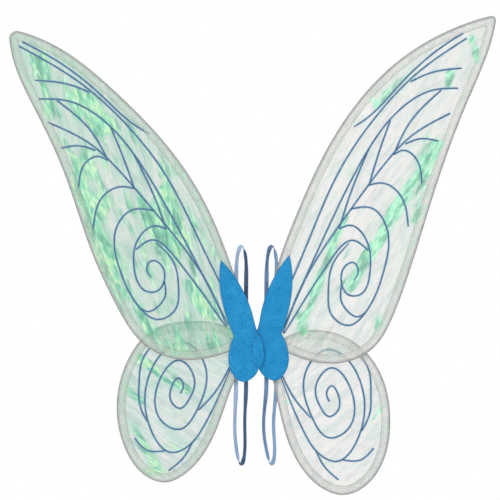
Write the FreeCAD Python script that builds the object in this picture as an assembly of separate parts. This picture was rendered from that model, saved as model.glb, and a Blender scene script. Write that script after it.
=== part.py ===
import FreeCAD, Part
import math
import os

from FreeCAD import Vector

# Costume fairy wings, laid out as worn and seen square-on from the front.
# Frame: +Z up, +X to the viewer's right, -Y the front, +Y towards the wearer's back.
# Origin: the middle of the overlapping felt tabs, on the face that lies against the
# wearer's back. Everything is in millimetres.
os.makedirs("parts", exist_ok=True)

# ---------------------------------------------------------------- driving dimensions
FELT_T = 1.2            # felt sheet
FILM_T = 0.16           # clear film of a wing
WIRE_W = 1.8            # square spring wire round each wing
RIBBON_T = 0.4          # one leg of the folded ribbon binding
BINDING_W = 12.5        # width of the binding once folded (25 mm ribbon)
CAVITY_T = 2.0          # space between the two legs of the binding
WING_T = CAVITY_T + 2 * RIBBON_T
FILM_TUCK = 3.2         # film edge sits this far inside the binding's outer edge
LAYER_GAP = 0.3         # air between neighbouring layers

ELASTIC_W = 6.0         # flat elastic of the arm loops
ELASTIC_T = 1.0
LOOP_TOP = 144.0        # top and bottom of each arm loop
LOOP_BOTTOM = -166.0
LOOP_W = 20.0           # outer width of the closed loop

FOLD_X = 10.0           # fold line of each felt half, either side of the centre
FOLD_GAP = 0.9          # each felt stops this far from its fold line
BACK_FELT_X = 11.5      # inner edge of the back felts
ROOT_X = 18.0           # straight root edge of every wing
FERRULE_W = 3.0         # crimp sleeve that joins the two ends of a frame wire
FERRULE_L = 14.0

PATCH_W = 12.0          # hook-and-loop patches
PATCH_H = 34.0
PATCH_T = 1.0
PATCH_R = 3.0
PATCH_GAP = 0.1
PATCH_Z = -1.5          # height of the fastener's middle

RIGHT_LOOP_X = 19.5     # middle of each arm loop, outwards from the centre
LEFT_LOOP_X = 23.0
TACK_W = 4.0            # bar tacks between back felt and elastic
TACK_H = 6.0
TACK_T = 0.4
TACK_GAP = 0.1
TACK_HIGH_Z = 30.0
TACK_LOW_Z = -20.0
SEAM_W = 5.0            # overlapped and sewn ends of the elastic
SEAM_H = 9.0
SEAM_T = 0.6

STITCH_X = 14.6         # stitches of the felt pocket, outwards from the centre
STITCH_LOW = -36.0
STITCH_HIGH = 60.0
STITCH_COUNT = 9
THREAD_D = 0.8

WIRE_INSET = RIBBON_T + 0.1             # outer side of the wire, inside the binding's edge
WIRE_END_GAP = 0.6      # between the two cut ends of a frame wire
SLEEVE_BORE = WIRE_W + 0.2              # square bore of the crimp sleeve
FERRULE_ROOM = 4.0      # depth of the opening in the binding round the sleeve

INSET_STEPS = 48        # samples round a wing when its edge is moved inwards
INSET_SLACK = 0.02
OVERCUT = 1.0           # how far a cutting body runs past what it cuts
REACH = 600.0           # larger than the whole object

# The left half lies in front: its tab covers the fastener and the right tab.
RIGHT_FRONT_Y = -FELT_T
LEFT_FRONT_Y = RIGHT_FRONT_Y - 2 * PATCH_T - 3 * PATCH_GAP - FELT_T

# ---------------------------------------------------------------- outlines
# Points are (outwards from the centre line, up). A wing runs from one end of its
# straight root edge to the other. The frames are bent by hand, so the two sides
# differ a little.
RIGHT_UPPER = [
    [(ROOT_X, 66), (24, 100), (51, 178), (104, 290), (198, 402), (270, 445), (327, 464.5)],
    [(334, 456.5), (328, 430), (295, 346), (253, 234), (218, 122), (190, 44), (164, 1),
     (130, -19), (90, -22), (48, -10), (ROOT_X, 4)],
]
RIGHT_TIP = (332.3, 462.4)      # middle of the round tip between the two runs
LEFT_UPPER = [
    [(ROOT_X, 60), (39, 121), (68, 192), (121, 276), (201, 360), (270, 415), (335, 443)],
    [(347.5, 432), (340, 396), (311, 332), (272, 248), (233, 136), (194, 52), (165, 10),
     (130, -12), (94, -17.5), (48, -9), (ROOT_X, 3)],
]
LEFT_TIP = (343.8, 440.2)
RIGHT_LOWER = [
    [(ROOT_X, 0), (40, 15), (73, 24.5), (110, 20), (149, -3.5), (175, -42), (186, -98),
     (169, -174), (143, -200), (120, -207), (94, -199.5), (50, -149), (28, -76),
     (ROOT_X, -32)],
]
LEFT_LOWER = [
    [(ROOT_X, 6), (42, 29), (92, 37), (148, 24), (180, -14), (197, -76), (187, -138),
     (155, -181), (129, -189), (104, -179), (57, -114), (31, -44), (ROOT_X, -20)],
]
# One half of the felt butterfly, drawn for the right side.
FELT_FORE_OUTER = [(44.8, 129.5), (49, 94.5), (45, 58), (33.6, 19.6)]
FELT_HIND = [
    (33.6, 19.6), (42.5, -3), (38.5, -35.7), (25.9, -46.2), (11, -41.5), (1.4, -28.7),
]
FELT_INNER = [
    (1.4, -28.7), (-5.5, -20), (-7.7, -6), (-6.5, 8), (0, 26), (5, 50), (14, 79),
    (28, 107), (44.8, 129.5),
]
RIGHT_FELT = (1.0, 0.0, 0.0)        # scale, lean outwards in degrees, shift
LEFT_FELT = (0.98, 3.9, -1.1)


def place(points, side, scale=1.0, lean=0.0, shift=0.0):
    """Outline points on one side of the object: side is +1 right or -1 left."""
    c = math.cos(math.radians(lean))
    s = math.sin(math.radians(lean))
    placed = []
    for out, up in points:
        x = scale * (out * c + up * s) + shift
        z = scale * (up * c - out * s) + shift
        placed.append(Vector(side * x, 0, z))
    return placed


def spline(points):
    curve = Part.BSplineCurve()
    curve.interpolate(points)
    return curve


def cut_at_depth(a, b, root, inward, depth):
    """Point of the line a-b that lies at the given depth from the root edge."""
    da = (a - root).dot(inward)
    db = (b - root).dot(inward)
    return a + (b - a) * ((depth - da) / (db - da))


def lines_meet(a, b, c, d):
    """Crossing point of the lines a-b and c-d."""
    across = Vector(-(d - c).z, 0, (d - c).x)
    return a + (b - a) * ((c - a).dot(across) / (b - a).dot(across))


class Wing:
    """Outline of one wing: one or two smooth runs closed by a straight root edge.

    Two runs are joined by a small round tip.
    """

    def __init__(self, runs, side, tip=None):
        self.side = side
        self.curves = [spline(place(run, side)) for run in runs]
        self.tip = place([tip], side)[0] if tip else None
        self.root = self.curves[0].value(self.curves[0].FirstParameter)
        self.root_end = self.curves[-1].value(self.curves[-1].LastParameter)
        self.along = (self.root_end - self.root).normalize()
        self.inward = Vector(-self.along.z, 0, self.along.x) * self.side
        if self.inward.x * side < 0:
            self.inward = -self.inward

    def moved(self, curve, depth):
        """Samples of a run, each moved inwards."""
        first, last = curve.FirstParameter, curve.LastParameter
        points = []
        for i in range(INSET_STEPS + 1):
            u = first + (last - first) * i / INSET_STEPS
            tangent = curve.tangent(u)[0]
            normal = Vector(tangent.z, 0, -tangent.x) * self.side
            points.append(curve.value(u) + normal * depth)
        return points

    def trim_root(self, points, depth):
        """Run that starts at the root edge, cut back to the moved root edge."""
        for i, point in enumerate(points):
            if (point - self.root).dot(self.inward) > depth + INSET_SLACK:
                start = cut_at_depth(points[i - 1], point, self.root, self.inward, depth)
                return [start] + points[i:]

    def clear_of(self, points, curve, depth):
        """How many samples from the root on stay clear of the other run."""
        edge = curve.toShape()
        for i, point in enumerate(points):
            if Part.Vertex(point).distToShape(edge)[0] < depth:
                return i
        return len(points)

    def tip_circle(self):
        """Circle of the round tip, through the ends of the two runs and the tip's middle."""
        start = self.curves[0].value(self.curves[0].LastParameter)
        end = self.curves[1].value(self.curves[1].FirstParameter)
        return Part.Arc(start, self.tip, end).toShape().Curve

    def inset(self, depth):
        """Closed wire that runs the given depth inside the outline."""
        runs = [self.moved(curve, depth) for curve in self.curves]
        tip_edge = []
        if self.tip:
            lead, trail = runs[0], runs[1][::-1]
            circle = self.tip_circle()
            if depth < circle.Radius:
                middle = self.tip + (circle.Center - self.tip) * (depth / circle.Radius)
                tip_edge = [Part.Arc(lead[-1], middle, trail[-1]).toShape()]
            else:
                i = self.clear_of(lead, self.curves[1], depth)
                j = self.clear_of(trail, self.curves[0], depth)
                corner = lines_meet(lead[i - 1], lead[i], trail[j - 1], trail[j])
                lead = lead[:i] + [corner]
                trail = trail[:j] + [corner]
            runs = [lead, trail[::-1]]
        if depth > 0:
            runs[0] = self.trim_root(runs[0], depth)
            runs[-1] = self.trim_root(runs[-1][::-1], depth)[::-1]
        root_edge = Part.LineSegment(runs[-1][-1], runs[0][0]).toShape()
        edges = [spline(run).toShape() for run in runs]
        return Part.Wire(edges[:1] + tip_edge + edges[1:] + [root_edge])

    def root_middle(self, depth):
        return (self.root + self.root_end) * 0.5 + self.inward * depth


def plate(wire, front_y, thickness):
    """Flat plate with its front face at front_y."""
    face = Part.Face(wire)
    face.translate(Vector(0, front_y, 0))
    return face.extrude(Vector(0, thickness, 0))


def bar(start, end, diameter):
    along = end - start
    return Part.makeCylinder(diameter / 2, along.Length, start, along)


def slab_between(x_low, x_high):
    """Tall block that keeps whatever lies between two x positions."""
    size = 2 * REACH
    return Part.makeBox(x_high - x_low, size, size, Vector(x_low, -REACH, -REACH))


def on_side(side, x_low, x_high):
    """The same block, measured outwards from the centre line on either side."""
    return slab_between(min(side * x_low, side * x_high), max(side * x_low, side * x_high))


def save(name, solids):
    """Write one node. Every entry of solids is a separate solid of that node."""
    flat = []
    for shape in solids:
        flat.extend(shape.Solids)
    node = flat[0] if len(flat) == 1 else Part.makeCompound(flat)
    node.exportStep("parts/" + name + ".step")


# ---------------------------------------------------------------- one wing
def make_film(wing, mid_y):
    return plate(wing.inset(FILM_TUCK), mid_y - FILM_T / 2, FILM_T)


def root_block(wing, length, outer_depth, inner_depth, front_y, thickness):
    """Block centred on the root edge, between two depths inside the outline."""
    middle = wing.root_middle(0)
    half = wing.along * (length / 2)
    near = middle + wing.inward * outer_depth
    far = middle + wing.inward * inner_depth
    corners = [near - half, near + half, far + half, far - half, near - half]
    return plate(Part.makePolygon(corners), front_y, thickness)


def make_binding(wing, mid_y):
    """Ribbon folded round the wire: two flat legs joined by a narrow outer fold.

    It is left open where the crimp sleeve sits, which the felt covers.
    """
    outer = plate(wing.inset(0), mid_y - WING_T / 2, WING_T)
    hole = plate(wing.inset(BINDING_W), mid_y - WING_T, 2 * WING_T)
    cavity = plate(wing.inset(RIBBON_T), mid_y - CAVITY_T / 2, CAVITY_T)
    gap_length = FERRULE_L + 2 * LAYER_GAP
    gap = root_block(wing, gap_length, -OVERCUT, FERRULE_ROOM, mid_y - WING_T, 2 * WING_T)
    return outer.cut(hole).cut(cavity).cut(gap)


def make_frame_wire(wing, mid_y):
    """Spring wire bent round the wing, its two ends meeting inside the crimp sleeve."""
    outer = plate(wing.inset(WIRE_INSET), mid_y - WIRE_W / 2, WIRE_W)
    inner = plate(wing.inset(WIRE_INSET + WIRE_W), mid_y - WIRE_W, 2 * WIRE_W)
    ends = root_block(wing, WIRE_END_GAP, -OVERCUT, FERRULE_ROOM, mid_y - WIRE_W, 2 * WIRE_W)
    return outer.cut(inner).cut(ends)


def make_ferrule(wing, mid_y):
    """Crimp sleeve squeezed square over the two ends of the wire."""
    wire_middle = WIRE_INSET + WIRE_W / 2

    def sleeve(length, width):
        return root_block(wing, length, wire_middle - width / 2, wire_middle + width / 2,
                          mid_y - width / 2, width)

    return sleeve(FERRULE_L, FERRULE_W).cut(sleeve(FERRULE_L + 2 * OVERCUT, SLEEVE_BORE))


# ---------------------------------------------------------------- felt and fasteners
def felt_outline(side, fit):
    """Half a butterfly: a long fore lobe, a round hind lobe and the hidden overlap."""
    runs = (FELT_FORE_OUTER, FELT_HIND, FELT_INNER)
    return Part.Wire([spline(place(run, side, *fit)).toShape() for run in runs])


def make_patch(front_y):
    """Rounded rectangle of hook or loop tape at the centre."""
    corner = Vector(-PATCH_W / 2, front_y, PATCH_Z - PATCH_H / 2)
    block = Part.makeBox(PATCH_W, PATCH_T, PATCH_H, corner)
    through = [e for e in block.Edges if abs(e.tangentAt(e.FirstParameter).y) > 0.5]
    return block.makeFillet(PATCH_R, through)


def make_loop(side, middle_x, front_y):
    """Closed arm loop of flat elastic: two long strands and two round ends."""
    x = side * middle_x
    radius = LOOP_W / 2

    def stadium(r):
        top, bottom = LOOP_TOP - radius, LOOP_BOTTOM + radius
        left_line = Part.LineSegment(Vector(x - r, 0, bottom), Vector(x - r, 0, top))
        right_line = Part.LineSegment(Vector(x + r, 0, top), Vector(x + r, 0, bottom))
        over = Part.Arc(Vector(x - r, 0, top), Vector(x, 0, top + r), Vector(x + r, 0, top))
        under = Part.Arc(
            Vector(x + r, 0, bottom), Vector(x, 0, bottom - r), Vector(x - r, 0, bottom))
        return Part.Wire([c.toShape() for c in (left_line, over, right_line, under)])

    outer = plate(stadium(radius), front_y, ELASTIC_T)
    inner = plate(stadium(radius - ELASTIC_W), front_y - OVERCUT, ELASTIC_T + 2 * OVERCUT)
    return outer.cut(inner)


def make_half(name, side, front_y, loop_x, upper, tip, lower, felt_fit):
    """Every piece of one half, from its front felt back to its arm loop."""
    upper_y = front_y + FELT_T + LAYER_GAP + WING_T / 2
    lower_y = upper_y + WING_T + LAYER_GAP
    back_y = lower_y + WING_T / 2 + LAYER_GAP
    tack_y = back_y + FELT_T + TACK_GAP
    loop_y = tack_y + TACK_T + TACK_GAP

    wings = {"upper": (Wing(upper, side, tip), upper_y), "lower": (Wing(lower, side), lower_y)}
    ferrules = []
    for level, (wing, mid_y) in wings.items():
        save(f"{name}_{level}_film", [make_film(wing, mid_y)])
        save(f"{name}_{level}_binding", [make_binding(wing, mid_y)])
        save(f"{name}_{level}_frame_wire", [make_frame_wire(wing, mid_y)])
        ferrules.append(make_ferrule(wing, mid_y))
    save(f"{name}_wire_ferrules", ferrules)

    felt = plate(felt_outline(side, felt_fit), front_y, FELT_T)
    wide = on_side(side, FOLD_X + FOLD_GAP, REACH)
    save(f"{name}_front_felt", [felt.common(wide)])
    save(f"{name}_felt_tab", [felt.common(on_side(side, -REACH, FOLD_X - FOLD_GAP))])

    felt.translate(Vector(0, back_y - front_y, 0))
    save(f"{name}_back_felt", [felt.common(on_side(side, BACK_FELT_X, REACH))])

    # Row of hand stitches that closes the felt pocket beside the wing roots.
    stitches = []
    for i in range(STITCH_COUNT):
        z = STITCH_LOW + (STITCH_HIGH - STITCH_LOW) * i / (STITCH_COUNT - 1)
        front = Vector(side * STITCH_X, front_y + FELT_T, z)
        stitches.append(bar(front, front + Vector(0, back_y - front_y - FELT_T, 0), THREAD_D))
    save(f"{name}_pocket_stitches", stitches)

    # Bar tacks hold the loop's inner strand to the back felt.
    strand_x = loop_x - LOOP_W / 2 + ELASTIC_W / 2
    tack_x = side * max(strand_x, BACK_FELT_X + TACK_W / 2)
    tacks = []
    for z in (TACK_HIGH_Z, TACK_LOW_Z):
        corner = Vector(tack_x - TACK_W / 2, tack_y, z - TACK_H / 2)
        tacks.append(Part.makeBox(TACK_W, TACK_T, TACK_H, corner))
    save(f"{name}_loop_tacks", tacks)

    save(f"{name}_arm_loop", [make_loop(side, loop_x, loop_y)])
    # The sewn overlap of the elastic's ends lies on its free outer strand.
    seam_x = side * (loop_x + LOOP_W / 2 - ELASTIC_W / 2)
    corner = Vector(seam_x - SEAM_W / 2, loop_y + ELASTIC_T, -SEAM_H / 2)
    save(f"{name}_loop_seam", [Part.makeBox(SEAM_W, SEAM_T, SEAM_H, corner)])


make_half("right", 1, RIGHT_FRONT_Y, RIGHT_LOOP_X, RIGHT_UPPER, RIGHT_TIP, RIGHT_LOWER,
          RIGHT_FELT)
make_half("left", -1, LEFT_FRONT_Y, LEFT_LOOP_X, LEFT_UPPER, LEFT_TIP, LEFT_LOWER,
          LEFT_FELT)

hook_y = LEFT_FRONT_Y + FELT_T + PATCH_GAP
save("hook_patch", [make_patch(hook_y)])
save("loop_patch", [make_patch(hook_y + PATCH_T + PATCH_GAP)])
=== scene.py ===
import math

import bpy
import numpy as np
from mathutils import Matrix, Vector, noise
from mathutils.geometry import delaunay_2d_cdt


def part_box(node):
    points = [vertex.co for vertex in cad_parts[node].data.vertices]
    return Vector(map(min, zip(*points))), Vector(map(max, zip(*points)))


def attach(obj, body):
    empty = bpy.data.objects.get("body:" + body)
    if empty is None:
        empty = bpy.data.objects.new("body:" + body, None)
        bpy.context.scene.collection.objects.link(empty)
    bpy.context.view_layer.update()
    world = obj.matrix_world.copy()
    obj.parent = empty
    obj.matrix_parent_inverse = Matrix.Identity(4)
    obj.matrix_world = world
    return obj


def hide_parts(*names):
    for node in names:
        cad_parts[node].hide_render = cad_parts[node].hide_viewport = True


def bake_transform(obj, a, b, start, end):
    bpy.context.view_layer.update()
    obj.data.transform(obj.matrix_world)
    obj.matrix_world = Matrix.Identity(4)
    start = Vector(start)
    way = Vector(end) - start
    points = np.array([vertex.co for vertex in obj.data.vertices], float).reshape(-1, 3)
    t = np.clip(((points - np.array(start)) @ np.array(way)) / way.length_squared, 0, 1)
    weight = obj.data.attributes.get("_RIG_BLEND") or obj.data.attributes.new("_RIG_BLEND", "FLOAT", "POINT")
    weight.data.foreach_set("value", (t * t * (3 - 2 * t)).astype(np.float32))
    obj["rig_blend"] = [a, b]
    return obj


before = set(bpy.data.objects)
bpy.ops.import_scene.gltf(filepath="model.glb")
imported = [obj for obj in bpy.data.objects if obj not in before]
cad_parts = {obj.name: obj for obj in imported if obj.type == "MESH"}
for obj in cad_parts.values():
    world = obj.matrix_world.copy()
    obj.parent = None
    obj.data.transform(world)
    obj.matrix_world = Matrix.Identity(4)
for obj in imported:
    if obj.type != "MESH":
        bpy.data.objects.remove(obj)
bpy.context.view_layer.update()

MM = 0.001
RIBBON_W = 12.5         # width of the folded ribbon, in mm
OUT = {"right": 1, "left": -1}
WINGS = [(side, level) for side in OUT for level in ("upper", "lower")]


# ---------------------------------------------------------------- outlines and distances, in mm

def outlines(node):
    """The ordered (x, z) boundaries of the front face of a CAD node, longest first, anticlockwise."""
    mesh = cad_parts[node].data
    spots = {}
    ids = [spots.setdefault(tuple(round(c * 1000, 2) for c in v.co), len(spots)) for v in mesh.vertices]
    place = list(spots)
    front = min(p[1] for p in place) + 0.02
    uses = set()
    for face in mesh.polygons:
        loop = [ids[i] for i in face.vertices]
        if all(place[i][1] < front for i in loop):
            uses.update(zip(loop, loop[1:] + loop[:1]))
    follow = {a: b for a, b in uses if a != b and (b, a) not in uses}
    loops = []
    while follow:
        start = next(iter(follow))
        loop, spot = [start], follow.pop(start)
        while spot != start and spot in follow:
            loop.append(spot)
            spot = follow.pop(spot)
        line = np.array([(place[i][0], place[i][2]) for i in loop])
        turn = np.sum(line[:, 0] * np.roll(line[:, 1], -1) - np.roll(line[:, 0], -1) * line[:, 1])
        loops.append(line if turn > 0 else line[::-1])
    return sorted(loops, key=lambda line: -np.hypot(*(line - np.roll(line, 1, 0)).T).sum())


def outline(node):
    """The longest (x, z) boundary of a CAD node's front face."""
    return outlines(node)[0]


def opened(line, on_cut):
    """The longest run of a closed line between two points of a straight cut across it."""
    cuts = np.flatnonzero(on_cut)
    turned = [np.roll(line, -i, 0)[:(j - i - 1) % len(line) + 2] for i, j in zip(cuts, np.roll(cuts, -1))]
    return max(turned, key=lambda run: np.hypot(*np.diff(run, axis=0).T).sum())


def inside(loop, pts):
    """Which points lie inside a closed line."""
    hit = np.zeros(len(pts), bool)
    x, z = pts.T
    for (x1, z1), (x2, z2) in zip(loop, np.roll(loop, -1, 0)):
        if z1 != z2:
            hit ^= ((z1 > z) != (z2 > z)) & (x < (x2 - x1) * (z - z1) / (z2 - z1) + x1)
    return hit


def distance(line, pts, closed=True):
    """How far each point is from the nearest part of a line."""
    line, pts = np.asarray(line, float), np.asarray(pts, float)
    ends = np.roll(line, -1, 0) if closed else line[1:]
    best = np.full(len(pts), 1e9)
    for p, q in zip(line, ends):
        d = q - p
        t = np.clip(((pts - p) @ d) / max(d @ d, 1e-9), 0, 1)
        best = np.minimum(best, np.hypot(*(pts - p - t[:, None] * d).T))
    return best


def resample(line, step, closed=True):
    """The same line in even steps of about the given length."""
    line = np.vstack([line, line[:1]]) if closed else np.asarray(line, float)
    run = np.concatenate([[0], np.cumsum(np.hypot(*np.diff(line, axis=0).T))])
    s = np.linspace(0, run[-1], max(3, round(run[-1] / step)) + 1)
    out = np.column_stack([np.interp(s, run, line[:, k]) for k in (0, 1)])
    return out[:-1] if closed else out


def spline(knots, step):
    """The natural cubic curve through a few (x, z) knots, sampled evenly."""
    k = np.array(knots, float)
    gap = np.hypot(*np.diff(k, axis=0).T)
    system, pull = np.eye(len(k)), np.zeros((len(k), 2))
    for i in range(1, len(k) - 1):
        system[i, i - 1:i + 2] = gap[i - 1], 2 * (gap[i - 1] + gap[i]), gap[i]
        pull[i] = 6 * ((k[i + 1] - k[i]) / gap[i] - (k[i] - k[i - 1]) / gap[i - 1])
    bend = np.linalg.solve(system, pull)
    out = []
    for i, h in enumerate(gap):
        t = np.linspace(0, h, 24, endpoint=False)[:, None]
        out.append((bend[i] * (h - t) ** 3 + bend[i + 1] * t ** 3) / (6 * h)
                   + (k[i] / h - bend[i] * h / 6) * (h - t) + (k[i + 1] / h - bend[i + 1] * h / 6) * t)
    return resample(np.vstack(out + [k[-1:]]), step, closed=False)


def normals(line, closed=True):
    """Unit normals on the inner side of an anticlockwise line."""
    d = np.roll(line, -1, 0) - np.roll(line, 1, 0)
    if not closed:
        d[0], d[-1] = line[1] - line[0], line[-1] - line[-2]
    d /= np.maximum(np.hypot(*d.T), 1e-9)[:, None]
    return np.column_stack([-d[:, 1], d[:, 0]])


def ease(value, low, high):
    """A smooth step from 0 at low to 1 at high."""
    t = np.clip((np.asarray(value, float) - low) / (high - low), 0, 1)
    return t * t * (3 - 2 * t)


def wander(a, b, seed):
    """Smooth noise, about -1 to 1, over two coordinates."""
    return np.array([noise.noise(Vector((p, q, seed))) for p, q in zip(a, b)])


# ---------------------------------------------------------------- meshes

def make(name, co, faces, materials, slots=None, smooth=True, **attributes):
    """A mesh object from points in mm; each attribute is one value per point, for the materials to read."""
    mesh = bpy.data.meshes.new(name)
    mesh.from_pydata((np.asarray(co, float) * MM).tolist(), [], faces)
    for material in materials:
        mesh.materials.append(material)
    if slots is not None:
        mesh.polygons.foreach_set("material_index", slots)
    mesh.polygons.foreach_set("use_smooth", [smooth] * len(mesh.polygons))
    for key, values in attributes.items():
        mesh.attributes.new(key, "FLOAT", "POINT").data.foreach_set("value", np.asarray(values, np.float32))
    mesh.update()
    obj = bpy.data.objects.new(name, mesh)
    bpy.context.scene.collection.objects.link(obj)
    return obj


def grid(loop, step, clear):
    """Points of a hexagonal grid that lie inside the loop and clear of its edge."""
    low, high = loop.min(0), loop.max(0)
    rows = np.arange(low[1], high[1], step * 0.866)
    columns = np.arange(low[0], high[0], step)
    pts = np.array([(x + (i % 2) * step / 2, z) for i, z in enumerate(rows) for x in columns])
    pts = pts[inside(loop, pts)]
    return pts[distance(loop, pts) > clear]


def triangulate(loop, inner, hole=None):
    """Triangles over the area inside a loop, and outside a hole, through the given inner points."""
    loops = [loop] if hole is None else [loop, hole]
    edges, start = [], 0
    for line in loops:
        edges += [(start + i, start + (i + 1) % len(line)) for i in range(len(line))]
        start += len(line)
    flat = [Vector(p) for p in np.vstack(loops + [inner])]
    verts, _, faces = delaunay_2d_cdt(flat, edges, [], 0, 1e-4)[:3]
    pts = np.array([(v.x, v.y) for v in verts])
    faces = np.array([list(f) for f in faces])
    middle = pts[faces].mean(1)
    keep = inside(loop, middle)
    if hole is not None:
        keep &= ~inside(hole, middle)
    faces = faces[keep]
    used = np.unique(faces)
    order = np.zeros(len(pts), int)
    order[used] = np.arange(len(used))
    return pts[used], order[faces].tolist()


def slab(name, pts, faces, front, back, material, **attributes):
    """A closed sheet: front and back heights over one flat triangulation, joined round the rim."""
    n = len(pts)
    co = np.vstack([np.column_stack([pts[:, 0], y, pts[:, 1]]) for y in (front, back)])
    edges = {(f[i], f[(i + 1) % len(f)]) for f in faces for i in range(len(f))}
    rim = [[b, a, a + n, b + n] for a, b in edges if (b, a) not in edges]
    both = {key: np.concatenate([v, v]) for key, v in attributes.items()}
    return make(name, co, faces + [[i + n for i in reversed(f)] for f in faces] + rim, [material], **both)


def tube_faces(base, rings, size, closed=False):
    """Faces that join rings of points one after another, with an end cap on an open run."""
    faces = []
    for i in range(rings if closed else rings - 1):
        here, there = base + i * size, base + (i + 1) % rings * size
        for j in range(size):
            faces.append([here + (j + 1) % size, here + j, there + j, there + (j + 1) % size])
    if not closed:
        last = base + (rings - 1) * size
        faces += [list(range(base, base + size)), list(range(last, last + size))[::-1]]
    return faces


def sweep(name, sections, materials, slots, closed=False, **attributes):
    """Joins cross-sections (each an array of 3-D points) one after another into a closed skin."""
    rings, size = len(sections), len(sections[0])
    faces = tube_faces(0, rings, size, closed)
    marks = slots * (rings if closed else rings - 1)
    marks += [0] * (len(faces) - len(marks))
    return make(name, np.vstack(sections), faces, materials, marks, **attributes)


def merge(name, objects):
    """Several meshes made one piece."""
    co, faces, marks, base = [], [], [], 0
    mats = list(objects[0].data.materials)
    keys = [a.name for a in objects[0].data.attributes if a.domain == "POINT" and a.data_type == "FLOAT"]
    values = {k: [] for k in keys}
    for o in objects:
        co += [tuple(v.co / MM) for v in o.data.vertices]
        faces += [[base + i for i in f.vertices] for f in o.data.polygons]
        marks += [f.material_index for f in o.data.polygons]
        for k in keys:
            values[k] += [d.value for d in o.data.attributes[k].data]
        base += len(o.data.vertices)
        bpy.data.objects.remove(o)
    return make(name, co, faces, mats, marks, **values)


# ---------------------------------------------------------------- procedural materials

class Graph:
    """A small writer of shader node trees."""

    def __init__(self, name):
        self.material = bpy.data.materials.new(name)
        self.material.use_nodes = True
        self.tree = self.material.node_tree
        self.tree.nodes.clear()

    def add(self, kind, inputs=None, out=0, **settings):
        node = self.tree.nodes.new("ShaderNode" + kind)
        for key, value in settings.items():
            setattr(node, key, value)
        for key, value in (inputs or {}).items():
            if isinstance(value, bpy.types.NodeSocket):
                self.tree.links.new(value, node.inputs[key])
            else:
                node.inputs[key].default_value = value
        return node.outputs[out]

    def place(self):
        return self.add("TexCoord", out="Object")

    def value(self, attribute):
        return self.add("Attribute", out="Fac", attribute_name=attribute)

    def math(self, operation, a, b=0.0, clamp=False):
        return self.add("Math", {0: a, 1: b}, operation=operation, use_clamp=clamp)

    def span(self, value, low, high, to_low=0.0, to_high=1.0):
        return self.add("MapRange", {0: value, 1: low, 2: high, 3: to_low, 4: to_high})

    def stretch(self, vector, x, y, z):
        return self.add("Mapping", {"Vector": vector, "Scale": (x, y, z)})

    def noise(self, vector, scale, detail=2.0, rough=0.5):
        inputs = {"Vector": vector, "Scale": scale, "Detail": detail, "Roughness": rough}
        return self.add("TexNoise", inputs)

    def ramp(self, value, stops):
        node = self.tree.nodes.new("ShaderNodeValToRGB")
        self.tree.links.new(value, node.inputs[0])
        elements = node.color_ramp.elements
        for element, (position, colour) in zip(elements, (stops[0], stops[-1])):
            element.position, element.color = position, tint(colour)
        for position, colour in stops[1:-1]:
            elements.new(position).color = tint(colour)
        return node.outputs[0]

    def mix(self, share, a, b, blend="MIX"):
        inputs = {"Factor": share, 6: shown(a), 7: shown(b)}
        return self.add("Mix", inputs, out=2, data_type="RGBA", blend_type=blend)

    def bump(self, height, depth_mm, strength=1.0):
        return self.add("Bump", {"Height": height, "Distance": depth_mm * MM, "Strength": strength})

    def principled(self, colour, **inputs):
        names = {k.replace("_", " "): v for k, v in inputs.items()}
        return self.add("BsdfPrincipled", {"Base Color": shown(colour), **names})

    def blend(self, share, a, b):
        return self.add("MixShader", {0: share, 1: a, 2: b})

    def done(self, shader):
        self.tree.links.new(shader, self.tree.nodes.new("ShaderNodeOutputMaterial").inputs["Surface"])
        return self.material


def tint(code):
    """A hexadecimal screen colour as linear light."""
    parts = [int(code[i:i + 2], 16) / 255 for i in (1, 3, 5)]
    return [p / 12.92 if p < 0.04045 else ((p + 0.055) / 1.055) ** 2.4 for p in parts] + [1]


def shown(colour):
    """A colour for a node's input: a hexadecimal code is turned into light, a socket stays as it is."""
    return tint(colour) if isinstance(colour, str) else colour


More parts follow.
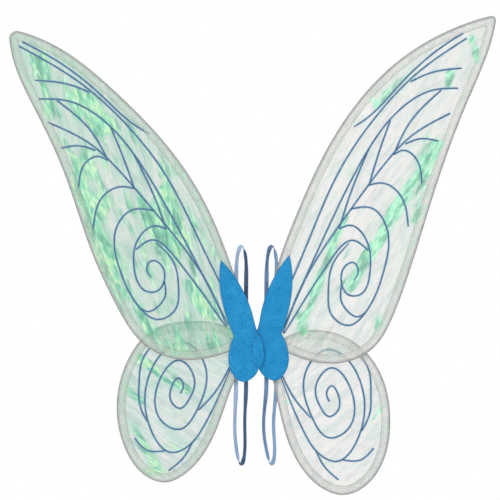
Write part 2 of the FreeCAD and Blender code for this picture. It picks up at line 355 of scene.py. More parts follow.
def film_material(name, shades, reflection_haze_colour, shadow_colour, glints, body):
    """Clear iridescent film: a pale wandering tint, painted green reflections in streaks and a soft haze
    that glow faintly, painted shade in soft folds and crinkles, and painted highlights on fine creases and
    sparkles.
    """
    g = Graph(name)
    grain = g.add("CombineXYZ", {0: g.value("along"), 1: g.value("across"), 2: g.value("seed")})
    streaks = g.noise(g.stretch(grain, 0.020, 0.075, 1), 1.0, 2, 0.45)
    fine = g.noise(g.stretch(grain, 0.09, 0.30, 1), 1.0, 2, 0.5)
    shade = g.ramp(g.noise(g.stretch(grain, 0.014, 0.05, 2), 1.0, 3), shades)
    sheen = g.value("sheen")
    # painted green reflection: where the sheen and the streak noise add up, the film takes the glint colours
    # and is less clear
    field = g.math("ADD", sheen, g.math("MULTIPLY", g.math("SUBTRACT", streaks, 0.5), 1.7))
    field = g.math("ADD", field, g.math("MULTIPLY", g.math("SUBTRACT", fine, 0.5), 0.35))
    lit = g.span(field, 0.38, 0.60)
    broad = g.noise(g.stretch(grain, 0.010, 0.028, 4), 1.0, 2)
    # a soft haze of painted green reflection, strongest where the sheen is
    reflection_haze = g.math("ADD", g.math("MULTIPLY", sheen, 1.3), g.math("SUBTRACT", broad, 0.5), clamp=True)
    folds = g.noise(g.stretch(grain, 0.013, 0.075, 3), 1.0, 1, 0.4)
    # painted highlights: thin bright lines along the creases of the folds, mint where the green reflection
    # is
    crease_highlight = g.span(g.math("ABSOLUTE", g.math("SUBTRACT", folds, 0.5)), 0.0, 0.022, 1.0, 0.0)
    crease_highlight = g.math("MULTIPLY", crease_highlight, g.span(broad, 0.42, 0.62, 0.15, 1.0))
    # painted shade in the soft folds and the fine crinkles
    shadow = g.span(g.math("ABSOLUTE", g.math("SUBTRACT", folds, 0.60)), 0.0, 0.085, 1.0, 0.0)
    crinkle_shade = g.span(fine, 0.46, 0.32)
    shadow = g.math("MAXIMUM", shadow, g.math("MULTIPLY", crinkle_shade, 0.8))
    colour = g.mix(reflection_haze, shade, reflection_haze_colour)
    tone = g.noise(g.stretch(grain, 0.024, 0.085, 5), 1.0, 2, 0.5)
    colour = g.mix(g.math("MULTIPLY", lit, 0.85), colour, g.ramp(tone, glints))
    # painted highlight: small pale sparkles inside the green reflections
    sparkle_highlight = g.math("MULTIPLY", g.span(fine, 0.56, 0.66), lit)
    colour = g.mix(g.math("MULTIPLY", sparkle_highlight, 0.5), colour, "#effff0")
    colour = g.mix(g.math("MULTIPLY", shadow, 0.34), colour, shadow_colour)
    colour = g.mix(g.math("MULTIPLY", crease_highlight, 0.5), colour, g.mix(lit, "#f7f9fb", "#e0ffe8"))
    bump = g.bump(g.math("ADD", g.math("MULTIPLY", fine, 0.8), g.math("MULTIPLY", folds, 1.2)), 0.9)
    # the painted reflections glow faintly, as if lit from within
    gloss = g.principled(colour, Roughness=0.3, Normal=bump, Emission_Color=colour,
                         Emission_Strength=g.math("MULTIPLY", lit, 0.12))
    sheet = g.blend(0.4, gloss, g.add("BsdfTranslucent", {"Color": colour, "Normal": bump}))
    opacity = g.math("ADD", g.math("MULTIPLY", lit, 0.26), g.math("MULTIPLY", crease_highlight, 0.14))
    opacity = g.math("ADD", opacity, g.math("MULTIPLY", reflection_haze, 0.14))
    opacity = g.math("ADD", opacity, g.math("MULTIPLY", shadow, 0.08))
    return g.done(g.blend(g.math("ADD", opacity, body), g.add("BsdfTransparent"), sheet))


def vein_material():
    """Mottled blue print."""
    g = Graph("printed_vein")
    mottling = g.noise(g.place(), 220, 2)
    colour = g.ramp(mottling, [(0.3, "#335c80"), (0.55, "#446d94"), (0.8, "#6089b0")])
    return g.done(g.principled(colour, Roughness=0.45, Normal=g.bump(mottling, 0.2)))


def halo_material():
    """The pale blue border of a printed vein."""
    g = Graph("vein_halo")
    mottling = g.noise(g.place(), 160, 2)
    colour = g.ramp(mottling, [(0.3, "#a9d6f4"), (0.7, "#c6e5fa")])
    sheet = g.blend(0.4, g.principled(colour, Roughness=0.35), g.add("BsdfTranslucent", {"Color": colour}))
    return g.done(g.blend(g.span(mottling, 0.3, 0.7, 0.35, 0.6), g.add("BsdfTransparent"), sheet))


def binding_material(name, pale, mid, dark):
    """Sheer silky ribbon with darker lines along its edge, beside the wire and at the hem."""
    g = Graph(name)
    depth = g.math("DIVIDE", g.value("depth"), RIBBON_W)
    run = g.value("run")
    silk_place = {0: g.math("MULTIPLY", run, 0.045), 1: g.math("MULTIPLY", depth, 0.9), 2: g.value("seed")}
    silk = g.noise(g.add("CombineXYZ", silk_place), 1.0, 2)
    base = g.ramp(silk, [(0.3, mid), (0.5, pale), (0.7, mid)])
    lines = g.ramp(depth, [(0.0, "#a9adab"), (0.04, "#cdd0ce"), (0.09, "#ffffff"), (0.20, "#ffffff"),
                           (0.245, "#b6bbb8"), (0.29, "#ffffff"), (0.44, "#ffffff"), (0.475, "#cdd1cf"),
                           (0.51, "#ffffff"), (0.66, "#ffffff"), (0.70, "#c2c7c4"), (0.74, "#ffffff"),
                           (0.88, "#ffffff"), (0.925, "#aeb4b1"), (0.96, "#f4f6f4"), (1.0, "#b0b5b2")])
    base = g.mix(1.0, base, lines, "MULTIPLY")
    weave = g.add("TexWave", {"Vector": g.add("CombineXYZ", {0: run, 1: g.value("depth")}), "Scale": 0.22,
                              "Distortion": 0.6}, bands_direction="DIAGONAL")
    threads = g.noise(g.add("CombineXYZ", {0: g.math("MULTIPLY", run, 0.2), 1: g.value("depth")}), 3.0, 2)
    colour = g.mix(g.math("MULTIPLY", threads, 0.16), base, dark)
    bump = g.bump(g.math("ADD", g.math("MULTIPLY", weave, 0.12), g.math("MULTIPLY", silk, 2.0)), 0.2)
    gloss = g.principled(colour, Roughness=0.42, Normal=bump)
    sheet = g.blend(0.35, gloss, g.add("BsdfTranslucent", {"Color": colour, "Normal": bump}))
    opacity = g.span(g.add("RGBToBW", {0: lines}), 0.42, 1.0, 0.78, 0.42)
    return g.done(g.blend(opacity, g.add("BsdfTransparent"), sheet))


def felt_material():
    """Matte blue felt with short fibres."""
    g = Graph("azure_felt")
    place = g.place()
    fibre = g.noise(g.stretch(place, 1, 1, 0.45), 900, 3, 0.7)
    tangle = g.noise(g.stretch(place, 0.5, 1, 1), 520, 3, 0.7)
    cloud = g.noise(place, 60, 2)
    colour = g.ramp(g.math("ADD", g.math("MULTIPLY", fibre, 0.8), g.math("MULTIPLY", cloud, 0.2)),
                    [(0.36, "#1278b4"), (0.5, "#1c90cb"), (0.64, "#3aa6da")])
    # painted shade: the felt darkens towards navy where the shade attribute marks its cut edges and the lens
    colour = g.mix(g.value("shade"), colour, "#0d4f80")
    bump = g.bump(g.math("ADD", fibre, tangle), 0.28)
    return g.done(g.principled(colour, Roughness=0.95, Normal=bump, Sheen_Weight=0.35, Sheen_Roughness=0.5,
                               Specular_IOR_Level=0.15))


def elastic_material(name, pale, deep):
    """One face of the woven elastic, with cords along it and picks across it; the face turned from the light
    gets darker colours as painted shade.
    """
    g = Graph(name)
    run, across = g.value("run"), g.value("across")
    cord_place, pick_place = g.add("CombineXYZ", {0: across}), g.add("CombineXYZ", {0: run})
    cords = g.add("TexWave", {"Vector": cord_place, "Scale": 0.26}, bands_direction="X")
    picks = g.add("TexWave", {"Vector": pick_place, "Scale": 0.2, "Distortion": 0.8}, bands_direction="X")
    cloud = g.noise(g.place(), 35, 2)
    weave = g.math("ADD", g.math("MULTIPLY", cords, 0.6), g.math("MULTIPLY", picks, 0.4))
    colour = g.mix(g.math("MULTIPLY", weave, 0.35), g.ramp(cloud, [(0.3, deep), (0.7, pale)]), pale)
    return g.done(g.principled(colour, Roughness=0.7, Normal=g.bump(weave, 0.06)))


def plain_material(name, pale, deep, scale, depth_mm, rough, metallic=0.0, stretched=(1, 1, 1)):
    """A two-tone grained surface for the small parts that keep their CAD shape."""
    g = Graph(name)
    grain = g.noise(g.stretch(g.place(), *stretched), scale, 3)
    colour = g.ramp(grain, [(0.3, deep), (0.7, pale)])
    return g.done(g.principled(colour, Roughness=rough, Metallic=metallic, Normal=g.bump(grain, depth_mm)))


def floor_material():
    """Plain pale floor."""
    g = Graph("pale_floor")
    place = g.place()
    colour = g.ramp(g.noise(place, 9, 2), [(0.3, "#f3f3f2"), (0.7, "#f7f7f6")])
    reach = g.add("VectorMath", {0: g.stretch(place, 1.25, 1.9, 0)}, out="Value", operation="LENGTH")
    edge = g.add("Emission", {"Color": tint("#ffffff")})
    return g.done(g.blend(g.span(reach, 0.45, 0.95), g.principled(colour, Roughness=0.8), edge))


WARM = [(0.32, "#b3cac3"), (0.40, "#dedad5"), (0.48, "#efe6e1"), (0.55, "#bfd8ca"), (0.62, "#e5dbd9"),
        (0.70, "#c8dcdc")]
COOL = [(0.32, "#96c9b5"), (0.40, "#b9d9cb"), (0.48, "#e0d9d4"), (0.55, "#9dd2ba"), (0.62, "#d8d2ce"),
        (0.70, "#aad8d2")]
# Glint colours of the painted green reflections on the film.
MINT_GLINTS = [(0.32, "#52a987"), (0.43, "#6fcaa0"), (0.50, "#9cf0ca"), (0.56, "#caf9d8"), (0.62, "#7ed8b4"),
        (0.72, "#5bb698")]
TEAL_GLINTS = [(0.32, "#5ca58c"), (0.43, "#76c6a2"), (0.50, "#9ce4be"), (0.56, "#daf2c4"), (0.62, "#80d4b8"),
        (0.72, "#66b59c")]

FILM = {
    ("right", "upper"): film_material("film_right_upper", WARM, "#b4decb", "#a9bab8", MINT_GLINTS, 0.25),
    ("right", "lower"): film_material("film_right_lower", WARM, "#c4ddd6", "#aebcc0", MINT_GLINTS, 0.25),
    ("left", "upper"): film_material("film_left_upper", COOL, "#8ccfb2", "#84b5aa", TEAL_GLINTS, 0.30),
    ("left", "lower"): film_material("film_left_lower", COOL, "#9bd4c2", "#86adb4", TEAL_GLINTS, 0.30),
}
VEIN, HALO = vein_material(), halo_material()
BINDING = {
    "right": binding_material("binding_right", "#f2efec", "#e4e3df", "#c0c4c1"),
    "left": binding_material("binding_left", "#edefe9", "#dce3db", "#b6c2b8"),
}
FELT = felt_material()
THREAD = plain_material("pale_thread", "#eceeec", "#b9bfbb", 700, 0.15, 0.7, stretched=(1, 1, 0.4))
BLUE_THREAD = plain_material("blue_thread", "#2f93d0", "#1a6fae", 700, 0.15, 0.75, stretched=(1, 1, 0.4))
STEEL = plain_material("spring_steel", "#c6c9cc", "#8d9296", 400, 0.03, 0.28, 1.0)
BRASS = plain_material("crimped_ferrule", "#c9ccd0", "#9a9ea3", 300, 0.05, 0.35, 1.0)
HOOKS = plain_material("hook_tape", "#3f9fdc", "#2475b4", 500, 0.2, 0.55)
PILE = plain_material("loop_tape", "#5cb2e6", "#2c86c6", 900, 0.4, 0.95)
# Each loop's two faces: the lit face in pale blue, the other face darker in painted shade.
ELASTIC = {
    "right": (elastic_material("elastic_right_lit_face", "#93b2d0", "#7896bb"),
              elastic_material("elastic_right_shaded_face", "#7f9dc4", "#45638c")),
    "left": (elastic_material("elastic_left_shaded_face", "#48658a", "#2a435c"),
             elastic_material("elastic_left_lit_face", "#a9c0dc", "#8aa6cc")),
}


# ---------------------------------------------------------------- printed veins and reflections

# The print of a right wing, drawn outward and up in mm: each line passes through its knots.
VEINS = {
    "upper": {
        "leading_rib": ((288, 440), (270, 429), (200, 369), (149, 318), (135, 309)),
        "front_rib": ((293, 433), (227, 387), (164, 321), (115, 248), (74, 156), (38, 70)),
        "tip_branch": ((214, 372), (241, 384), (286, 391)),
        "middle_rib": ((281, 363), (241, 359), (214, 345), (144, 258), (108, 187), (34, 22)),
        "rib_fork": ((156, 278), (131, 218), (115, 168)),
        "fork_branch": ((186, 318), (169, 270), (156, 227)),
        "high_branch": ((257, 360), (214, 316), (191, 271)),
        "trailing_rib": ((270, 328), (214, 295), (178, 257), (131, 194), (59, 80), (36, 20)),
        "short_branch": ((207, 285), (227, 292), (253, 289)),
        "first_hook": ((191, 270), (204, 276), (220, 267), (230, 230)),
        "second_hook": ((155, 227), (176, 230), (200, 213), (211, 169)),
        "great_coil": ((131, 194), (160, 195), (181, 167), (177, 108), (151, 49), (127, 31), (103, 47),
                       (99, 72), (106, 118), (128, 146)),
        "inner_coil": ((114, 166), (130, 171), (153, 149), (158, 114), (141, 73), (127, 74), (118, 89),
                       (124, 115), (134, 119), (141, 108), (135, 94)),
        "coil_stem": ((155, 136), (134, 150), (102, 122), (37, 19)),
        "coil_link": ((118, 89), (117, 66), (127, 50), (140, 43), (151, 49)),
    },
    "lower": {
        "spiral": ((101, -76), (97, -64), (103, -54), (114, -69), (110, -92), (101, -97), (89, -85),
                   (82, -54), (102, -29), (132, -62), (120, -121), (102, -127), (76, -97), (69, -31),
                   (99, -3), (124, -15), (141, -40), (142, -125), (110, -160), (83, -146), (68, -124),
                   (30, -34)),
        "root_line": ((33, -36), (52, -72), (75, -99)),
        "foot_line": ((82, -145), (93, -166), (114, -186)),
        "foot_branch": ((120, -158), (144, -158), (163, -141)),
        "side_arc": ((146, -117), (157, -94), (159, -64), (155, -29), (146, -13)),
    },
}
TIP_RIBS = ("leading_rib", "front_rib")
RIB_REACH = {"right": 0, "left": 17}        # how much further the tip ribs run on one side
# How the print sits on each wing: (widen, heighten, turn outwards in degrees, shift outward, shift up).
PRINT_FIT = {
    ("right", "upper"): (1, 1, 0, 0, 0),
    ("right", "lower"): (1, 1, 0, 0, 0),
    ("left", "upper"): (1.055, 0.935, 0.7, 5, 12),
    ("left", "lower"): (1.0, 0.985, -1.8, 5, 7),
}

# Green reflections on each wing: its overall sheen, and streaks (from, to, half width, strength) that are
# drawn outward and up in mm.
SHEEN = {
    ("right", "upper"): (0.12, [((251, 284), (130, 88), 9, 1.0), ((122, 186), (60, 25), 7, 0.8),
                                ((300, 433), (309, 402), 6, 1.0), ((270, 382), (268, 367), 6, 0.8),
                                ((164, 345), (166, 338), 6, 0.6), ((58, 48), (60, 40), 7, 0.6),
                                ((168, 42), (170, 34), 8, 0.6), ((178, 354), (214, 382), 10, 0.45),
                                ((241, 262), (200, 67), 15, 0.35)]),
    ("left", "upper"): (0.42, [((251, 349), (218, 311), 14, 1.0), ((248, 248), (199, 80), 14, 0.8),
                               ((130, 220), (108, 150), 9, 1.0), ((164, 192), (115, 136), 14, 0.6),
                               ((94, 87), (69, 45), 8, 0.8), ((164, 52), (150, 24), 7, 0.7),
                               ((300, 400), (290, 330), 10, 0.4)]),
    ("right", "lower"): (0.10, [((178, -40), (180, -110), 16, 0.25)]),
    ("left", "lower"): (0.20, [((164, -18), (102, -60), 8, 0.9), ((171, -108), (143, -171), 8, 0.7),
                               ((192, -45), (164, -73), 7, 0.7)]),
}
# Direction of each wing's creases, in degrees up from outwards.
GRAIN = {("right", "upper"): 58, ("left", "upper"): 72, ("right", "lower"): 40, ("left", "lower"): 35}
BULGE = {"upper": 3.0, "lower": -3.0}       # how far each film swells forwards (minus is backwards), in mm
FILM_STEP = 2.3
FILM_HALF = 0.09


class Wing:
    """One fabric wing: its outlines, the height of its film and where its colours lie."""

    def __init__(self, side, level):
        self.side, self.level, self.name = side, level, f"{side}_{level}"
        self.out = OUT[side]
        low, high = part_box(self.name + "_film")
        self.mid = (low.y + high.y) / 2 / MM
        self.film = outline(self.name + "_film")
        self.ring, self.hole = outlines(self.name + "_binding")[:2]
        root = self.ring[:, 0] * self.out
        self.edge = opened(self.ring, root < root.min() + 0.05)
        self.seed = {"right": 3.0, "left": 11.0}[side] + {"upper": 0.0, "lower": 5.0}[level]
        self.angle = math.radians(GRAIN[side, level])

    def printed(self, name, knots):
        """Knots of one line of the print, placed on this wing."""
        if name in TIP_RIBS:
            ahead = Vector(knots[0]) - Vector(knots[1])
            knots = (Vector(knots[0]) + ahead.normalized() * RIB_REACH[self.side],) + knots[1:]
        widen, heighten, turn, outward, up = PRINT_FIT[self.side, self.level]
        c, s = math.cos(math.radians(turn)), math.sin(math.radians(turn))
        sized = [(u * widen, z * heighten) for u, z in knots]
        return [(self.out * (u * c + z * s + outward), z * c - u * s + up) for u, z in sized]

    def grain(self, pts):
        """Coordinates along and across the wing's own direction."""
        u, z = pts[:, 0] * self.out, pts[:, 1]
        c, s = math.cos(self.angle), math.sin(self.angle)
        return u * c + z * s, -u * s + z * c

    def lift(self, pts):
        """How far the film stands forward of its flat middle plane, in mm."""
        deep = distance(self.film, pts)
        along, across = self.grain(pts)
        rise = ease(deep, 4, 45)
        swell = BULGE[self.level] * rise * (0.75 + 0.45 * wander(along / 150, across / 80, self.seed))
        folds = wander(along / 60 + 4, across / 11, self.seed + 1)
        sharp = 1 - 2 * np.abs(wander(along / 75, across / 17, self.seed + 2))
        small = wander(along / 22, across / 7, self.seed + 4)
        return swell + ease(deep, 3, 16) * (0.75 * folds + 0.5 * sharp + 0.3 * small)

    def sheen(self, pts):
        """Strength of the green reflections, broken up along the creases."""
        base, streaks = SHEEN[self.side, self.level]
        mirrored = np.column_stack([pts[:, 0] * self.out, pts[:, 1]])
        total = np.full(len(pts), base)
        for start, end, width, strength in streaks:
            d = distance(np.array([start, end], float), mirrored, closed=False)
            total += strength * np.exp(-(d / width) ** 2)
        along, across = self.grain(pts)
        return total * (0.85 + 0.5 * wander(along / 34, across / 8, self.seed + 7))


def build_film(wing):
    """The film as one thin swelling sheet, with what its material needs at every point."""
    loop = resample(wing.film, FILM_STEP)
    pts, faces = triangulate(loop, grid(loop, FILM_STEP, FILM_STEP * 0.6))
    y = wing.mid - wing.lift(pts)
    along, across = wing.grain(pts)
    film = slab(wing.name + "_film_sheet", pts, faces, y - FILM_HALF, y + FILM_HALF,
                FILM[wing.side, wing.level], along=along, across=across,
                seed=np.full(len(pts), wing.seed), sheen=wing.sheen(pts))
    film.visible_shadow = False
    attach(film, wing.side + "_half")
    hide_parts(wing.name + "_film")


# Front of a vein's cross-section, (across, height) in mm: a raised blue line between two thin pale borders.
VEIN_HALF = 2.2
VEIN_SECTION = [(-VEIN_HALF, 0.12), (-1.1, 0.16), (-0.75, 0.34), (0.0, 0.45), (0.75, 0.34), (1.1, 0.16),
                (VEIN_HALF, 0.12)]
VEIN_SLOTS = [1, 0, 0, 0, 0, 1, 1]
VEIN_STEP = 2.2


def build_veins(wing):
    """The printed lines of one wing, as thin raised strips that follow the film."""
    strips = []
    section = VEIN_SECTION + [(a, -h) for a, h in reversed(VEIN_SECTION)]
    slots = VEIN_SLOTS * 2
    for i, (name, knots) in enumerate(VEINS[wing.level].items()):
        line = spline(wing.printed(name, knots), VEIN_STEP)
        line = line[inside(wing.film, line)]
        across = normals(line, closed=False)
        width = 0.84 + 0.12 * wander(np.arange(len(line)) / 7, np.full(len(line), i), wing.seed)
        width *= 1 - 0.35 * ease(np.arange(len(line)) / len(line), 0.9, 1.0)
        rows = []
        sides = [line + across * a * width[:, None] for a, _ in section]
        lifts = [wing.lift(s) for s in (sides[0], line, sides[6])]
        for k in range(len(line)):
            row = []
            for (a, h), spots in zip(section, sides):
                lift = np.interp(a, (-VEIN_HALF, 0, VEIN_HALF), [rise[k] for rise in lifts])
                row.append((spots[k][0], wing.mid - lift - h, spots[k][1]))
            rows.append(np.array(row))
        strips.append(sweep("strip", rows, [VEIN, HALO], slots))
    veins = merge(wing.name + "_veins", strips)
    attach(veins, wing.side + "_half")


EDGE_STEP = 3.0
RIM_STEP = 2.4
OFFSET_SLACK = 0.2      # an offset point nearer to the edge than its depth, less this, is left out
BINDING_ROWS = (0.25, 0.7, 1.4, 2.3, 3.2, 4.2, 5.8, 7.4, 9.0, 10.4, 11.0, 11.6)
# Half thickness of the folded ribbon by depth from the wing's edge, in mm: round over the wire, then flat
# to the hem.
RIBBON_PROFILE = ((0.0, 0.35), (0.25, 0.85), (0.7, 1.25), (1.4, 1.45), (2.3, 1.35), (3.2, 0.95), (4.2, 0.8),
                  (7.4, 0.8), (9.0, 0.75), (10.4, 0.65), (11.0, 0.5), (11.6, 0.55), (RIBBON_W, 0.4))


def ribbon_faces(wing, depth, run):
    """Heights of the ribbon's front and back, by depth from the wing's edge and run along it, in mm."""
    half = np.interp(depth, *zip(*RIBBON_PROFILE))
    pucker = 0.16 * ease(depth, 1, 5) * wander(run / 7, depth / 9, wing.seed)
    sway = 0.35 * ease(depth, 1, 9) * wander(run / 26, depth / 30, wing.seed + 3)
    return wing.mid - half - pucker + sway, wing.mid + half + sway


def build_binding(wing):
    """The ribbon folded over the wing's edge, as one closed skin round its two legs."""
    edge = resample(wing.edge, EDGE_STEP, closed=False)
    inward = normals(edge, closed=False)
    rows = []
    for depth in BINDING_ROWS:
        row = edge + inward * depth
        rows.append(row[np.abs(distance(wing.edge, row, closed=False) - depth) < OFFSET_SLACK])
    inner = np.vstack(rows)
    loop, hole = resample(wing.ring, RIM_STEP), resample(wing.hole, RIM_STEP)
    inner = inner[inside(loop, inner) & ~inside(hole, inner)]
    inner = inner[(distance(loop, inner) > 0.18) & (distance(hole, inner) > 0.4)]
    pts, faces = triangulate(loop, inner, hole)
    depth = distance(wing.edge, pts, closed=False)
    run = np.concatenate([[0], np.cumsum(np.hypot(*np.diff(edge, axis=0).T))])
    nearest = np.array([run[np.argmin((edge[:, 0] - p[0]) ** 2 + (edge[:, 1] - p[1]) ** 2)] for p in pts])
    front, back = ribbon_faces(wing, depth, nearest)
    ribbon = slab(wing.name + "_ribbon", pts, faces, front, back, BINDING[wing.side],
                  depth=depth, run=nearest, seed=np.full(len(pts), wing.seed))
    ribbon.visible_shadow = False
    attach(ribbon, wing.side + "_half")
    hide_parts(wing.name + "_binding")


HEM_DEPTH = 9.7         # the row of stitches lies this far from the wing's edge, in mm
HEM_STEP = 0.9
HEM_PITCH = 4           # steps from one stitch to the next
STITCH_RADII = (0.08, 0.26, 0.26, 0.08)
STITCH_SIDES = 6
STITCH_STAND = 0.06     # each stitch's middle stands this far out of the ribbon


def build_hem(wing):
    """Machine stitches through the ribbon's two legs, seen as a row of short threads on each face."""
    edge = resample(wing.edge, HEM_STEP, closed=False)
    inward = normals(edge, closed=False)
    seam = edge + inward * HEM_DEPTH
    clear = np.abs(distance(wing.edge, seam, closed=False) - HEM_DEPTH) < OFFSET_SLACK
    heights = ribbon_faces(wing, np.full(len(seam), HEM_DEPTH), np.arange(len(seam)) * HEM_STEP)
    co, faces, rings = [], [], len(STITCH_RADII)
    for height, stand in zip(heights, (-STITCH_STAND, STITCH_STAND)):
        for start in range(0, len(seam) - rings, HEM_PITCH):
            if not clear[start:start + rings].all():
                continue
            base = len(co)
            for k, radius in enumerate(STITCH_RADII, start):
                for turn in np.linspace(0, math.tau, STITCH_SIDES, endpoint=False):
                    x, z = seam[k] + inward[k] * radius * math.cos(turn)
                    co.append((x, height[k] + stand + radius * math.sin(turn), z))
            faces += tube_faces(base, rings, STITCH_SIDES)
    hem = make(wing.name + "_hem_stitches", co, faces, [THREAD])
    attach(hem, wing.side + "_half")


for side, level in WINGS:
    wing = Wing(side, level)
    build_film(wing)
    build_veins(wing)
    build_binding(wing)
    build_hem(wing)


# ---------------------------------------------------------------- felt butterfly

FELT_ROUND = 1.1        # depth over which a felt's edge is rounded, in mm
FOLD_SPAN = (7, 13)     # the felt bends between these distances from the centre
LENS_REACH = 5          # the right felt's rim is covered up to this far right of the centre


def joined_felt(side):
    """One outline round the felt half and its tab, across the fold."""
    half, tab = outline(side + "_front_felt"), outline(side + "_felt_tab")
    out = OUT[side]
    parts = []
    for line, cut in ((half, min(half[:, 0] * out)), (tab, max(tab[:, 0] * out))):
        parts.append(opened(line, np.abs(line[:, 0] * out - cut) < 0.05))
    return np.vstack(parts)


def felt_mesh(loop, rows, step, clear, margin):
    """Triangles of a felt shape, with rows of points along its edge, and each point's depth inside it."""
    inner = np.vstack([loop + normals(loop) * d for d in rows] + [grid(loop, step, clear)])
    inner = inner[inside(loop, inner)]
    inner = inner[distance(loop, inner) > margin]
    pts, faces = triangulate(loop, inner)
    return pts, faces, distance(loop, pts)


def fall(deep, height):
    """The rounded edge of a felt: zero on its face and minus the height at its rim."""
    return height * np.sqrt(1 - np.clip(1 - deep / FELT_ROUND, 0, 1) ** 2) - height


def rim_shade(deep):
    """Painted shade darkening a felt's cut edge."""
    return 0.5 * (1 - ease(deep, 0, 1.3))


def press_lens(shape, pts):
    """Where the left felt lies over the right one: how far it stands proud, with painted shade along its rim
    and painted light and shade on its ribs.
    """
    hidden = shape[shape[:, 0] < LENS_REACH]
    step = distance(hidden, pts, closed=False)
    lens = inside(shape, pts)
    ribs = wander(pts[:, 0] / 1.6, pts[:, 1] / 9, 7)
    proud = 0.5 * ease(np.where(lens, step, 0), 0, 1.6) + np.where(lens, 0.25, 0) * ribs
    return proud, 0.5 * np.exp(-(step / 0.8) ** 2) + 0.25 * np.where(lens, ribs, 0)


def build_front_felt(side, shapes):
    """A felt half and its tab as one sheet that bends across the fold line."""
    low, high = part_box(side + "_front_felt")
    pts, faces, deep = felt_mesh(resample(shapes[side], 1.6), (0.35, 1.0), 2.2, 2.2, 0.25)
    crown = fall(deep, 0.55)
    ripple = 0.16 * wander(pts[:, 0] / 9, pts[:, 1] / 14, 5)
    ripple += 0.08 * wander(pts[:, 0] / 2.5, pts[:, 1] / 2.5, 9)
    face = low.y / MM - crown - ripple
    shade = rim_shade(deep)
    if side == "left":
        proud, dark = press_lens(shapes["right"], pts)
        face -= proud
        shade += dark
    back = np.full(len(pts), high.y / MM) + 0.35 * crown
    felt = slab(side + "_felt", pts, faces, face, back, FELT, shade=shade)
    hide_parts(side + "_front_felt", side + "_felt_tab")
    start, end = ((x * OUT[side] * MM, 0, 0) for x in FOLD_SPAN)
    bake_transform(felt, side + "_tab", side + "_half", start=start, end=end)


def build_back_felt(side):
    """The felt that closes the pocket behind the wing roots."""
    low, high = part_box(side + "_back_felt")
    loop = resample(outline(side + "_back_felt"), 1.8)
    pts, faces, deep = felt_mesh(loop, (0.6,), 2.6, 1.8, 0.3)
    crown = fall(deep, 0.5)
    ripple = 0.12 * wander(pts[:, 0] / 9, pts[:, 1] / 14, 25)
    front, back = np.full(len(pts), low.y / MM) - 0.3 * crown, high.y / MM + crown + ripple
    felt = slab(side + "_back_felt_sheet", pts, faces, front, back, FELT, shade=rim_shade(deep))
    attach(felt, side + "_half")
    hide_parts(side + "_back_felt")


felt_shapes = {side: joined_felt(side) for side in OUT}
for side in OUT:
    build_front_felt(side, felt_shapes)
    build_back_felt(side)


# ---------------------------------------------------------------- elastic arm loops

ELASTIC_W = 6.0         # width of the elastic, in mm
# Cross-section of the elastic, (across, thickness): four points on each face, in order.
STRAP_SECTION = [(-3, -0.25), (-2.2, -0.45), (2.2, -0.45), (3, -0.25), (3, 0.25), (2.2, 0.45), (-2.2, 0.45),
                 (-3, 0.25)]
STRAP_SLOTS = [0, 0, 0, 0, 1, 1, 1, 1]
BOW = {"right": 4.0, "left": 1.8}       # how far the hanging strands drift sideways
ARCH_TOP, ARCH_BOTTOM = 34, 46          # height of the two bights
BIGHT_CLEAR = 2         # the bights stop this far inside the loop's ends
TWIST_REACH = 14.0      # the half twist runs this far either side of a bight's end
FREE_LEAN = 0.75        # how far the free strands lean out of their plane, in radians


def build_loop(side):
    """A flat two-faced elastic ribbon sewn into a ring, with half a twist in each bight."""
    low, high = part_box(side + "_arm_loop")
    y = (low.y + high.y) / 2 / MM
    bottom, top = low.z / MM, high.z / MM
    radius = ((high.x - low.x) / MM - ELASTIC_W) / 2
    middle = (low.x + high.x) / 2 / MM
    high_spring, low_spring = top - BIGHT_CLEAR - ARCH_TOP, bottom + BIGHT_CLEAR + ARCH_BOTTOM
    arc = np.linspace(0, math.pi, 40)
    up = [(middle + radius * math.cos(a), high_spring + ARCH_TOP * math.sin(a)) for a in arc]
    down = [(middle - radius * math.cos(a), low_spring - ARCH_BOTTOM * math.sin(a)) for a in arc]
    path = resample(np.array(up + down), 2.0)
    run = np.concatenate([[0], np.cumsum(np.hypot(*np.diff(path, axis=0).T))])
    ends = (run[np.argmax(path[:, 1])], run[np.argmin(path[:, 1])])
    turn = sum(ease(run, end - TWIST_REACH, end + TWIST_REACH) for end in ends) * math.pi
    sections = []
    for (x, z), (nx, nz), twist in zip(path, normals(path), turn):
        lean = twist + FREE_LEAN * (ease(z, 92, 120) + ease(-z, 55, 90))
        c, s = math.cos(lean), math.sin(lean)
        drift = -BOW[side] * math.sin(math.pi * ease(-z, 50, -bottom)) + 0.6 * ease(z, 70, 140)
        row = []
        for a, h in STRAP_SECTION:
            w, t = a * c - h * s, a * s + h * c
            row.append((x + drift + nx * w, y + t, z + nz * w))
        sections.append(np.array(row))
    size = len(STRAP_SECTION)
    ring = sweep(side + "_elastic", sections, list(ELASTIC[side]), STRAP_SLOTS, closed=True,
                 run=np.repeat(run, size), across=np.tile([a for a, _ in STRAP_SECTION], len(path)))
    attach(ring, side + "_loop")
    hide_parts(side + "_arm_loop")


for side in OUT:
    build_loop(side)


# ---------------------------------------------------------------- finishes of the CAD's own hard parts

CAD_FINISH = {
    "frame_wire": (STEEL, "spring_wire"),
    "ferrules": (BRASS, "ferrule"),
    "stitches": (BLUE_THREAD, "thread"),
    "tacks": (BLUE_THREAD, "thread"),
    "seam": (BLUE_THREAD, "thread"),
    "hook_patch": (HOOKS, "hook_tape"),
    "loop_patch": (PILE, "loop_tape"),
}
for name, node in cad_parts.items():
    for ending, (material, slot_name) in CAD_FINISH.items():
        if name.endswith(ending):
            node.data.materials.clear()
            node.data.materials.append(material)


# ---------------------------------------------------------------- studio

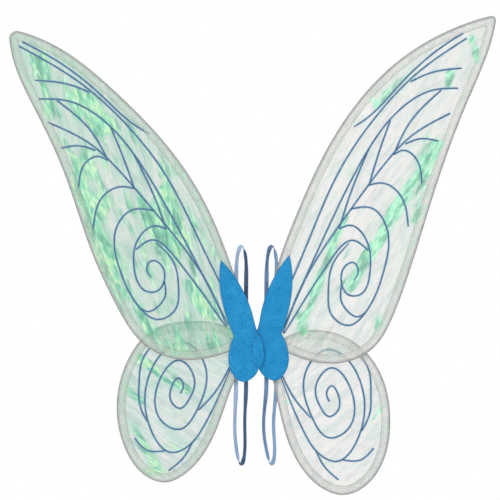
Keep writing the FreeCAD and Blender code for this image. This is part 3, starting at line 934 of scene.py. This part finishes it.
FLOOR_LOW, FLOOR_HIGH, FLOOR_Z = (-800, -520), (800, 520), -260     # mm
VIEW_DISTANCE, VIEW_WIDTH, SENSOR_W = 4.0, 0.7, 36      # metres, and mm on the sensor
VIEW_X, VIEW_Z = -0.0105, 0.1365
LIGHT_AIM = Vector((0, 0, 0.12))
LIGHTS = {      # place, size and power
    "key": ((-1.4, -2.2, 2.0), 0.9, 30),
    "fill": ((1.8, -1.6, 0.6), 1.2, 8),
    "rim": ((0.6, 1.8, 1.6), 1.0, 14),
}


def build_world(scene):
    """Soft light from all round, with a white background where the camera sees past the floor."""
    world = bpy.data.worlds.new("soft_studio")
    scene.world = world
    world.use_nodes = True
    tree = world.node_tree
    tree.nodes.clear()
    rays = tree.nodes.new("ShaderNodeLightPath")
    seen = tree.nodes.new("ShaderNodeBackground")
    light = tree.nodes.new("ShaderNodeBackground")
    seen.inputs[0].default_value = (1, 1, 1, 1)
    light.inputs[0].default_value = (0.97, 0.98, 1.0, 1)
    light.inputs[1].default_value = 0.66
    mix = tree.nodes.new("ShaderNodeMixShader")
    out = tree.nodes.new("ShaderNodeOutputWorld")
    tree.links.new(rays.outputs["Is Camera Ray"], mix.inputs[0])
    tree.links.new(light.outputs[0], mix.inputs[1])
    tree.links.new(seen.outputs[0], mix.inputs[2])
    tree.links.new(mix.outputs[0], out.inputs[0])


def build_stage():
    """Floor, soft light and a distant camera square to the front."""
    (x0, y0), (x1, y1) = FLOOR_LOW, FLOOR_HIGH
    corners = [(x0, y0, FLOOR_Z), (x1, y0, FLOOR_Z), (x1, y1, FLOOR_Z), (x0, y1, FLOOR_Z)]
    make("pale_floor", corners, [[0, 1, 2, 3]], [floor_material()])
    scene = bpy.context.scene
    scene.view_settings.view_transform = "Standard"
    scene.cycles.transparent_max_bounces = 32
    build_world(scene)
    for name, (spot, size, power) in LIGHTS.items():
        data = bpy.data.lights.new(name, "AREA")
        data.size = size
        data.energy = power
        lamp = bpy.data.objects.new(name, data)
        scene.collection.objects.link(lamp)
        lamp.location = spot
        lamp.rotation_euler = (LIGHT_AIM - Vector(spot)).to_track_quat("-Z", "Y").to_euler()
    data = bpy.data.cameras.new("camera")
    data.lens = SENSOR_W * VIEW_DISTANCE / VIEW_WIDTH
    camera = bpy.data.objects.new("camera", data)
    camera.location = (VIEW_X, -VIEW_DISTANCE, VIEW_Z)
    camera.rotation_euler = (math.pi / 2, 0, 0)
    scene.collection.objects.link(camera)
    scene.camera = camera


build_stage()
